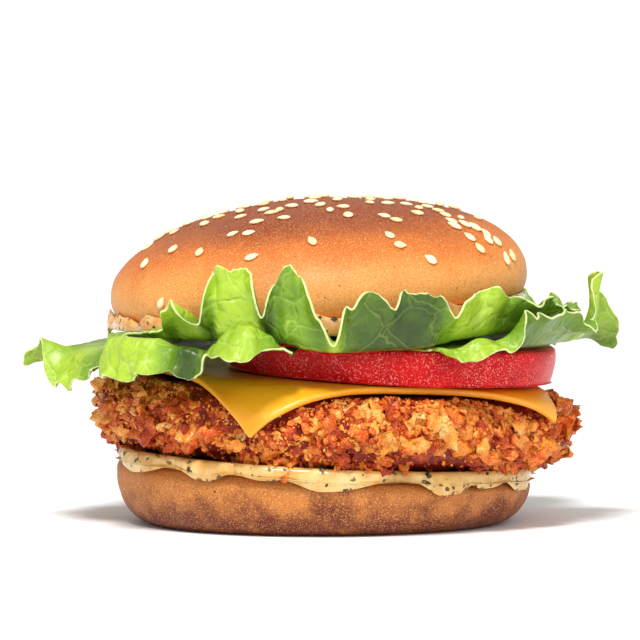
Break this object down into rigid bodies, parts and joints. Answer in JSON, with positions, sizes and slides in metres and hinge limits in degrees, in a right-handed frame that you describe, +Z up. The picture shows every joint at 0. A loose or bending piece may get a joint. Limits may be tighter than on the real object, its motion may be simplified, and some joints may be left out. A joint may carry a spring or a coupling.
{
  "type": "chicken burger",
  "caption": "Crispy chicken burger: sesame bun, herb sauce, ruffled lettuce, tomato slice, cheese slice and a flaky breaded chicken patty, standing on its flat foot.",
  "frame": {"origin": "centre of the bun heel's flat foot", "axes": "+Z up through the stack, -Y towards the side that shows a corner of the cheese, +X towards the right end of the lettuce"},
  "size_m": [0.1484, 0.1368, 0.0817],
  "materials": {
    "crown_crust": "satin baked bread crust with sesame seeds",
    "heel_crust": "matt baked bread crust",
    "fried_crust": "rough fried crust, a little oily",
    "cheese": "smooth and softly glossy",
    "tomato": "wet and glossy",
    "lettuce": "waxy leaf",
    "herb_sauce": "creamy and glossy, with herb flecks"
  },
  "bodies": {
    "root": {"bun_heel": "heel_crust", "lower_sauce": "herb_sauce", "patty": "fried_crust", "cheese": "cheese", "tomato": "tomato", "lettuce_left": "lettuce", "lettuce_right": "lettuce", "lettuce_front": "lettuce", "lettuce_back": "lettuce", "upper_sauce": "herb_sauce", "bun_crown": "crown_crust"}
  },
  "joints": []
}
